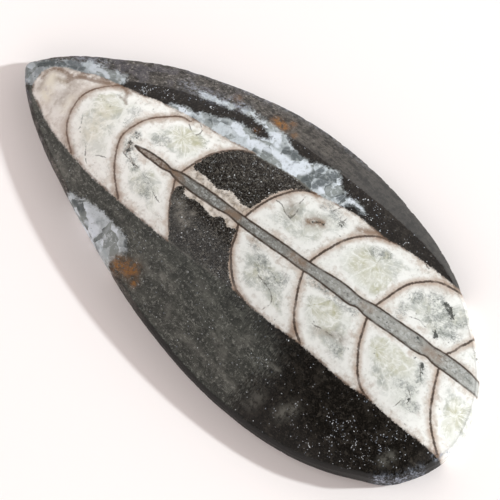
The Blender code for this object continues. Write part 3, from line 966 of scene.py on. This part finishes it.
# %% [markdown]
# ## Colours laid in layers
# Each part of the stone is mixed like a painting: a ground colour, then layers over it. A layer is a
# colour and its shares, and it shows as strongly as all the shares together say. A share is a number, an
# output, or a row of numbers for patches: a noise's scale, detail and roughness, the two levels that it is
# softly cut between and, where the patches aren't simply off and on, their strengths at those levels.

# %% Lay colours over a base
def patches(scale, detail, roughness, start, end, low=0.0, high=1.0, at=at_mm):
    """Soft patches: from low to high while the noise goes from start to end."""
    return fade(noise(scale, detail, roughness, at), start, end, low, high)


def colour(code):
    """A colour for a shader from its code on screen, such as d8cfc6."""
    parts = [int(code[i:i + 2], 16) / 255 for i in (0, 2, 4)]
    linear = [part / 12.92 if part <= 0.04045 else ((part + 0.055) / 1.055) ** 2.4 for part in parts]
    return (*linear, 1.0)


def mixed(share, first, second, kind="RGBA"):
    """The first where share is 0, the second where it is 1: colours, or numbers if kind is FLOAT."""
    ends = [colour(end) if isinstance(end, str) else end for end in (first, second)]
    inputs = {"Factor": share, "A": ends[0], "B": ends[1]}
    return add_node(tree, "Mix", inputs, data_type=kind).outputs["Result"]


def laid(base, *layers):
    """A base under layers, each given as its colour and its shares."""
    for tone, *shares in layers:
        shares = [patches(*share) if isinstance(share, tuple) else share for share in shares]
        base = mixed(product(*shares), base, tone)
    return base


print("layers ready")

# %% [markdown]
# ## Grains, thin lines and ragged edges
# Most other marks in stone are of two kinds. A grain is a small ragged cell of a packed pattern, and only
# some cells are chosen. A thin line runs wherever a noise passes its middle. Edges get a coarse and a fine
# noise, so none of them looks cut out.

# %% Make grains and lines
GRAIN_RAGGED, GRAIN_FINER = 0.7, 2.5


def grains(scale, share, size, at=at_mm):
    """Small ragged grains in a share of packed cells, each up to so many cells in radius."""
    cells = crystals(scale, at=at)
    chosen = calc("LESS_THAN", dice(cells), share)
    uneven = wandering(cells.outputs["Distance"], noise(GRAIN_FINER * scale), GRAIN_RAGGED)
    return product(chosen, fade(uneven, size, 0.5 * size))


def ridge(cloud, half_width):
    """A thin line wherever a noise passes one half."""
    return fade(calc("ABSOLUTE", calc("SUBTRACT", cloud, 0.5)), half_width, 0.0)


wide_cloud, fine_cloud = noise(1.1, 3.0), noise(4.5, 3.0, 0.6)


def ragged(value, coarse, fine):
    """A distance whose line wanders by so many millimetres, coarsely and finely."""
    return wandering(wandering(value, wide_cloud, 2 * coarse), fine_cloud, 2 * fine)


print("grains and lines ready")

# %% [markdown]
# ## Areas and lines
# From the stored distances come the shares that all colours are mixed by: inside the shell, inside the
# tube, in the mud, in a vein. A little noise on a distance before the cut makes a natural edge. A line,
# such as a septum, is where a distance is near zero.

# %% Cut the distances into areas
SOFT, VEIN_SOFT = 0.05, 0.28

x_mm, y_mm = add_node(tree, "SeparateXYZ", (at_mm,)).outputs[:2]
shell_mm, tube_mm = field("shell"), field("tube")
in_shell = fade(ragged(shell_mm, 0.10, 0.24), -2 * SOFT, 2 * SOFT)
in_tube = product(fade(tube_mm, -SOFT, SOFT), in_shell)
in_mud = product(fade(ragged(field("mud"), 0.15, 0.40), -SOFT, SOFT), without(in_tube))
in_vein = fade(ragged(field("vein"), 0.65, 0.60), -VEIN_SOFT, VEIN_SOFT)
print("areas ready")

# %% Draw the septa, the tube's wall and the cracks
SEPTUM_THIN, SEPTUM_WIDE, THIN_AT, WIDE_AT = 0.095, 0.125, -24.0, 2.0
TUBE_HALF, HALO_HALF = 0.10, 0.75

chamber_number = field("chamber")
to_wall = calc("ABSOLUTE", calc("SUBTRACT", chamber_number, calc("ROUND", chamber_number)))
septum_mm = product(to_wall, field("span"))
septum_half = fade(x_mm, THIN_AT, WIDE_AT, SEPTUM_THIN, SEPTUM_WIDE)
septum_past = calc("SUBTRACT", wandering(septum_mm, fine_cloud, 0.24), septum_half)
outside_tube = fade(tube_mm, SOFT, -SOFT)
septum_line = product(fade(septum_past, SOFT, -SOFT), outside_tube)
septum_halo = product(fade(septum_mm, HALO_HALF, 0.0), outside_tube)
tube_gap = wandering(calc("ABSOLUTE", tube_mm), fine_cloud, 0.12)
tube_line = fade(tube_gap, TUBE_HALF + SOFT, TUBE_HALF - SOFT)
crack_gap = calc("ABSOLUTE", wandering(field("crack_side"), fine_cloud, 0.25))
crack_line = product(fade(crack_gap, 0.11, 0.02), fade(field("crack_near"), 0.35, 0.2))
in_mm = calc("MINIMUM", shell_mm, calc("MINIMUM", septum_mm, product(tube_mm, -1.0)))
print("lines ready")

# %% [markdown]
# ## The pale chambers
# Calcite grew from the chamber walls inwards. Along the walls it is creamy and pinkish, then comes a white
# band with a wandering edge, and in the middle stands a core of clear crystals, greenish or grey. The
# distance from the walls sets these zones and noise makes them wander. Packed cells, laid along the stored
# rays instead of the plain place, make crystals that point away from the middle.

# %% Mix the zones along the walls
zone = wandering(in_mm, noise(0.7, 4.0, 0.6), 3.0)
pale = laid("c4b9ae", ("d8d1c8", fade(zone, -0.8, 0.3)), ("e7e7e2", fade(zone, 0.0, 0.9)),
            ("f1f1ed", 0.8, (1.3, 4.0, 0.6, 0.40, 0.62)), ("a9a79e", 0.6, (2.1, 5.0, 0.75, 0.50, 0.68)),
            ("b9a99b", 0.5, (0.9, 5.0, 0.7, 0.50, 0.64), fade(zone, 1.6, 0.6)))
print("zones of the chambers mixed")

# %% Grow the crystals of the cores
CORE_CRYSTALS = 1.15

green, along_rays = field("green"), field("ray", "Vector")
crystal_place = bent(1.0, 1.6, at=along_rays)
core_dice = dice(crystals(CORE_CRYSTALS, at=crystal_place))
core_borders = crystals(CORE_CRYSTALS, "DISTANCE_TO_EDGE", at=crystal_place).outputs["Distance"]
core_fill = laid("b4b8b2", ("bcbba0", fade(green, 0.1, 0.7)), ("cfcfbe", 0.6, (0.9, 4.0, 0.7, 0.45, 0.62)),
                 ("e4e6df", fade(core_dice, 0.45, 0.85), fade(green, 1.1, 0.2, 0.2, 0.9)),
                 ("e9ebe6", 0.45, fade(core_borders, 0.25, 0.0)),
                 ("a3a79e", 0.4, (2.3, 5.0, 0.75, 0.50, 0.66)),
                 ("eef0ec", 0.6, (1.4, 4.0, 0.7, 0.52, 0.64)))
core_mm = calc("ADD", zone, product(green, 1.7))
core_rim = product(fade(core_mm, 0.6, 1.1), fade(core_mm, 2.0, 1.3), fade(wide_cloud, 0.38, 0.56))
pale = laid(pale, (core_fill, fade(core_mm, 1.1, 1.8), (1.0, 4.0, 0.6, 0.30, 0.52, 0.55, 1.0)),
            ("f3f4f0", 0.8, core_rim))
print("cores mixed")

# %% Draw the rays and the bright borders
RAY_STRETCH, FAN_STRETCH = (5.0, 5.0, 2.6), (15.0, 15.0, 2.4)

rays = ridge(noise(1.0, 3.0, 0.6, at=stretched(RAY_STRETCH, at=along_rays)), 0.035)
fan = ridge(noise(1.0, at=stretched(FAN_STRETCH, at=along_rays)), 0.07)
borders = fade(core_borders, 0.05, 0.0)
bright_lines = chained(
    "MAXIMUM",
    product(rays, fade(zone, 0.3, 1.3), patches(1.2, 2.0, 0.5, 0.42, 0.60)),
    product(borders, fade(zone, 0.2, 1.0), patches(0.8, 3.0, 0.5, 0.40, 0.60)),
    product(fan, fade(zone, 0.6, 1.4), patches(0.7, 2.0, 0.5, 0.50, 0.62), 0.5),
)
pale = laid(pale, ("f4f5f0", 0.8, bright_lines))
print("rays drawn")

# %% Tint the chambers
SHADE_FROM, SHADE_TO, SHADE_ENDS = -16.0, 2.0, (24.0, 30.0, 0.20, 0.11)

grey = field("grey")
grey_cloud = product(fade(grey, 0.08, 0.75), patches(1.3, 5.0, 0.75, 0.42, 0.62))
grey_lines = ridge(noise(1.0, 5.0, 0.65, at=bent(0.6, 1.0)), 0.022)
pale = laid(pale, ("858b88", 0.75, grey_cloud), ("565b58", 0.6, grey_lines, fade(grey, 0.05, 0.35)),
            ("6a6f6c", 0.5, (3.4, 5.0, 0.8, 0.50, 0.60), fade(grey, 0.1, 0.6)),
            ("6c6c66", 0.6, grains(2.2, 0.05, 0.22)),
            ("2a251c", fade(x_mm, SHADE_FROM, SHADE_TO), fade(x_mm, *SHADE_ENDS)))
print("chambers tinted")

# %% [markdown]
# ## The tip and the tube
# The first chamber is stained beige all through. The tube is filled with grey granular calcite, darker in
# its first part and whitish where it runs off the blunt end. Its pointed start is brown.

# %% Mix the fillings of the tip and the tube
TIP_STRETCH, TUBE_STRETCH = (1.6, 0.7, 1.0), (0.8, 1.4, 1.0)

tip_streaks = patches(1.3, 5.0, 0.7, 0.50, 0.66, at=stretched(TIP_STRETCH))
tip_fill = laid("cfc6be", ("eae6e1", (0.7, 4.0, 0.5, 0.38, 0.62)),
                ("ece8e2", 0.7, (1.8, 5.0, 0.7, 0.45, 0.65)), ("ac9e92", 0.5, tip_streaks))
pale = laid(pale, (tip_fill, 0.85, fade(chamber_number, 1.0, 0.93)),
            ("e8e2d2", 0.9, field("cream"), (1.6, 4.0, 0.5, 0.25, 0.55)))

dark_grain = patches(3.0, 5.0, 0.8, 0.45, 0.55)
tube_clouds = patches(2.0, 5.0, 0.75, 0.50, 0.64, at=stretched(TUBE_STRETCH))
tube_fill = laid("6f6e69", ("969691", fade(x_mm, -4.0, 18.0)),
                 ("b5b8b6", 0.65, (2.4, 5.0, 0.75, 0.48, 0.62)), ("51504c", 0.7, tube_clouds),
                 ("57514b", 0.4, fade(tube_mm, 0.36, 0.08)), ("565b57", 0.75, grey_cloud),
                 ("c6c8c4", 0.7, fade(x_mm, 25.0, 29.5), (1.5, 4.0, 0.7, 0.36, 0.58)),
                 (mixed(dark_grain, "6b5649", "a39a90"), 0.75, fade(x_mm, -10.6, -11.6)))
print("tip and tube mixed")

# %% [markdown]
# ## Septa and stains
# Round the mud the chamber has a rim of tan grains. The septa are dark brown lines with a pinkish stain on
# both sides, finer towards the tip. Brown stains lie where septa meet the shell, in the necks of the tube
# and along some old borders, and hairline cracks and black specks come last, over everything else.

# %% Put the fillings together
MUD_CHAMBER = 3.0

mud_rim = laid("6b5f54", ("b7aa9a", (3.2, 5.0, 0.8, 0.42, 0.60)),
               ("d9d1c8", 0.75, fade(wide_cloud, 0.40, 0.58)))
beside_mud = calc("COMPARE", calc("FLOOR", chamber_number), MUD_CHAMBER, 0.5)
in_corner = product(fade(septum_mm, 1.1, 0.1), fade(shell_mm, 1.0, 0.05), outside_tube)
contour = fade(wandering(field("contour"), fine_cloud, 0.6), 0.50, 0.92)
shell_fill = laid(pale, (mud_rim, 0.8, beside_mud),
                  ("a89485", septum_halo, fade(wide_cloud, 0.3, 0.6, 0.4, 0.85)), (tube_fill, in_tube),
                  ("7a6450", 0.65, in_corner, (1.7, 4.0, 0.7, 0.36, 0.58)),
                  ("7a6350", 0.85, field("stain"), (1.6, 5.0, 0.7, 0.28, 0.56)), ("735c4a", 0.6, contour))
print("fillings put together")

# %% Draw the dark lines and specks
line_tone = mixed(fade(x_mm, -24.0, 0.0), "6b574a", "3b3029")
line_strength = patches(0.9, 2.0, 0.5, 0.25, 0.55, 0.65, 1.0)
dark = field("dark")
specks = fade(wandering(dark, noise(1.9, 5.0, 0.8), 2.6), 0.62, 0.80)
shell_fill = laid(shell_fill, (line_tone, 0.92, septum_line, line_strength),
                  ("3b3029", tube_line, line_strength, fade(x_mm, 26.0, 30.0, 0.95, 0.6)),
                  ("4d4943", 0.75, crack_line, (2.2, 3.0, 0.5, 0.34, 0.54)),
                  ("343633", 0.9, specks, fade(dark, 0.1, 0.3)))
print("lines drawn")

# %% [markdown]
# ## The dark limestone
# The rock is black where it is well polished. On the lower side the polish is worn and rougher, and there
# the grey sheen of the panel is painted into the colour as a painted reflection, which ends in a field of
# fine slanting strokes. The rock is full of fine grains, and tiny blue-white crystals sit in it, thick in
# some places.

# %% Mix the painted sheen and the black rock
STROKE_STRETCH, STROKE_TURN = (4.5, 0.9, 1.0), 0.35
WISP_STRETCH, WISP_TURN = (0.45, 1.5, 1.0), -0.12
HAIR_STRETCH, HAIR_TURN = (0.5, 1.6, 1.0), -0.3

strokes = noise(1.6, 3.0, 0.6, at=stretched(STROKE_STRETCH, STROKE_TURN))
worn_sheen = fade(wandering(field("worn_sheen"), strokes, 6.0), -1.6, 2.0)
wisps = patches(0.7, 5.0, 0.7, 0.50, 0.66, at=stretched(WISP_STRETCH, WISP_TURN))
hair = ridge(noise(0.5, 3.0, 0.6, at=stretched(HAIR_STRETCH, HAIR_TURN, at=bent(1.5, 0.5))), 0.012)
# The worn lower side's colour is a painted reflection: a grey sheen with fine strokes where it ends.
painted_sheen = laid("242521", ("40413b", (1.1, 5.0, 0.75, 0.34, 0.66)), ("5f6059", 0.55, wisps),
            ("85867f", 0.7, hair, (0.5, 2.0, 0.5, 0.48, 0.6)),
            ("84857e", 0.7, (3.0, 5.0, 0.85, 0.54, 0.61)), ("161714", 0.8, (2.9, 5.0, 0.85, 0.54, 0.62)))

smoke = product(field("smoke"), patches(1.9, 5.0, 0.7, 0.32, 0.60))
rock = laid("100e0b", ("2d2924", (4.6, 5.0, 0.8, 0.50, 0.66)), ("312d28", 0.6, (0.8, 5.0, 0.7, 0.48, 0.68)),
            ("47433d", 0.5, (1.7, 5.0, 0.75, 0.52, 0.68)), (painted_sheen, worn_sheen), ("74736c", 0.75, smoke))
print("limestone mixed")

# %% Scatter the pale crystals of the rock
THREAD_STRETCH, THREAD_TURN = (0.8, 2.6, 1.0), 0.7

crowd = field("flecks")
fleck_share = calc("ADD", product(crowd, 0.42, patches(0.8, 5.0, 0.65, 0.48, 0.60)), 0.005)
coarse_flecks = grains(3.3, product(fleck_share, 0.40), 0.27)
fine_flecks = grains(5.4, calc("ADD", product(fleck_share, 1.3), 0.02), 0.42)
thread_place = stretched(THREAD_STRETCH, THREAD_TURN, at=bent(1.1, 1.1))
threads = product(grains(1.9, product(fleck_share, 0.8), 0.26, at=thread_place), fade(crowd, 0.3, 0.7))
flecks = chained("MAXIMUM", coarse_flecks, product(fine_flecks, 0.6), product(threads, 0.9))
fleck_tone = mixed(patches(1.9, 3.0, 0.5, 0.42, 0.60), "7f8894", "dfe4e8")
rock = laid(rock, (fleck_tone, 0.95, flecks))
print("crystals scattered")

# %% [markdown]
# ## Mud and veins
# The mud is black and sandy, with pale grains. The veins grew as blocks of calcite, so packed cells with
# bent borders each get their own grey, and the stored bright and dull places push whole blocks up or down.

# %% Mix the mud
# Towards the worn lower side a quarter of the painted sheen lies over the mud too.
sheen_on_mud = fade(wandering(field("worn_sheen"), wide_cloud, 2.0), 0.0, 1.4)
mud_fill = laid("171411", ("625e57", (4.4, 5.0, 0.9, 0.49, 0.57)),
                ("1a1613", 0.75, (1.3, 5.0, 0.75, 0.42, 0.54)), ("8f8e8a", 0.7, (5.2, 5.0, 0.9, 0.56, 0.62)),
                ("8a857c", 0.6, smoke), ("8e9192", grains(5.0, 0.22, 0.42), (0.9, 4.0, 0.5, 0.40, 0.60)),
                ("d3d7d9", grains(3.6, calc("ADD", fleck_share, 0.03), 0.28)), (painted_sheen, 0.25, sheen_on_mud))
print("mud mixed")

# %% Mix the veins
BLOCKS, BLOCK_PUSH = 0.85, 0.7

block_place = bent(0.45, 1.4)
block_dice = dice(crystals(BLOCKS, at=block_place))
block_borders = crystals(BLOCKS, "DISTANCE_TO_EDGE", at=block_place).outputs["Distance"]
dull_blocks = fade(wandering(field("dull"), block_dice, -BLOCK_PUSH), 0.20, 0.60)
bright_blocks = fade(wandering(field("bright"), block_dice, BLOCK_PUSH), 0.35, 0.70)
vein_fill = laid("828886", ("b9c1c6", fade(block_dice, 0.10, 0.90)),
                 ("6d7475", 0.5, (1.2, 5.0, 0.7, 0.46, 0.64)), ("c9d0d4", 0.6, (1.7, 5.0, 0.75, 0.52, 0.64)),
                 ("40474a", 0.8, dull_blocks, (2.3, 4.0, 0.5, 0.24, 0.52)),
                 ("d2d9e1", 0.8, bright_blocks, (1.7, 4.0, 0.6, 0.26, 0.50)),
                 ("dfe5e9", 0.1, fade(block_borders, 0.05, 0.0)), ("4d5457", 0.28, fade(x_mm, -19.0, -25.0)))
vein_holes = patches(3.0, 5.0, 0.75, 0.60, 0.68, 1.0, 0.1)
print("veins mixed")

# %% [markdown]
# ## Ground surfaces
# The bevel, the walls and the back are matt. Fine grinding marks run along them, and the rock looks lighter
# and browner there, with small pale grains. Along the lower side, which is turned away from the lamp, it is
# darkened again with painted shade. Rust lies over the rock as a ragged cloud of two browns, and where the
# edge was chipped, bluish calcite shows.

# %% Mix the ground rock
GRIND_STRETCH = (0.4, 3.5, 3.5)

is_ground = fade(ragged(field("ground"), 0.12, 0.15), -0.12, 0.12)
grind_marks = noise(1.0, 4.0, 0.65, at=stretched(GRIND_STRETCH))
# The last layer darkens the lower side with painted shade.
dull_rock = laid("1f1d1a", ("4e4a45", (1.2, 5.0, 0.75, 0.40, 0.60)),
                 ("67625a", 0.45, fade(grind_marks, 0.52, 0.66)),
                 ("4e4d56", 0.5, (0.6, 3.0, 0.5, 0.48, 0.62), fade(x_mm, -6.0, -14.0)),
                 ("98938d", 0.75, (2.7, 5.0, 0.85, 0.54, 0.62), fade(x_mm, 0.0, -12.0, 0.2, 1.0)),
                 ("151413", 0.8, (2.8, 5.0, 0.8, 0.54, 0.63)), ("393938", 0.6, fade(x_mm, -3.0, 7.0)),
                 ("12100e", 0.95, fade(x_mm, -9.0, 0.0), fade(y_mm, -2.0, -5.0)))
print("ground rock mixed")

# %% Put the colours together
rust_tone = mixed(dark_grain, "a06a22", "7c4f1e")
rock_all = laid(rock, (dull_rock, is_ground), (vein_fill, in_vein, vein_holes),
                (rust_tone, 0.85, field("rust"), (1.9, 5.0, 0.75, 0.32, 0.60)))
wall_gap = calc("ABSOLUTE", wandering(shell_mm, fine_cloud, 0.15))
wall_line = product(fade(wall_gap, 0.30, 0.05), patches(0.8, 3.0, 0.5, 0.40, 0.62, 0.1, 0.8))
shell_all = laid(shell_fill, (mud_fill, in_mud), (mixed(in_mud, "665244", "64625c"), wall_line),
                 ("9b9083", is_ground, fade(x_mm, 16.0, 22.0, 0.3, 0.06)))
chip_tone = mixed(patches(3.1, 4.0, 0.8, 0.46, 0.60), "7b8492", "c0c7d6")
chip_strength = fade(x_mm, 27.0, 31.0, 0.7, 0.45)
surface = laid(rock_all, (shell_all, in_shell),
               (chip_tone, chip_strength, field("chips"), (2.4, 5.0, 0.75, 0.44, 0.60)))
tree.links.new(surface, shader.inputs["Base Color"])
print("colours joined")

# %% [markdown]
# ## Polish and relief
# Roughness is low on the polish, higher where the polish is worn on the lower side and high on the ground
# stone. The relief is only what a fingertip would feel: grains and grinding marks on the ground stone, and
# hardly anything on the polish. Both reliefs lie about one half, so no false step shows where they meet.

# %% Set the roughness and the relief
POLISH_SMOOTH, POLISH_DULL, WORN_MORE, GROUND_ROUGHNESS = 0.10, 0.19, 0.22, 0.68
SHINE = 0.36
POLISH_RELIEF, POLISH_LEVEL = 0.02, 0.49
BUMP_STRENGTH, BUMP_HEIGHT = 0.6, 0.00012

worn = product(worn_sheen, without(in_shell), WORN_MORE)
polish = calc("ADD", patches(3.0, 3.0, 0.5, 0.3, 0.7, POLISH_SMOOTH, POLISH_DULL), worn)
roughness = mixed(is_ground, polish, GROUND_ROUGHNESS, "FLOAT")
polish_relief = calc("ADD", product(noise(5.0, 3.0, 0.6), POLISH_RELIEF), POLISH_LEVEL)
ground_relief = calc("ADD", product(grind_marks, 0.5), product(noise(6.0, 4.0, 0.7), 0.5))
relief = mixed(is_ground, polish_relief, ground_relief, "FLOAT")
bump_inputs = {"Strength": BUMP_STRENGTH, "Distance": BUMP_HEIGHT, "Height": relief}
bump = add_node(tree, "Bump", bump_inputs).outputs["Normal"]
shader.inputs["Specular IOR Level"].default_value = SHINE
tree.links.new(roughness, shader.inputs["Roughness"])
tree.links.new(bump, shader.inputs["Normal"])
print("nodes in the material:", len(tree.nodes))
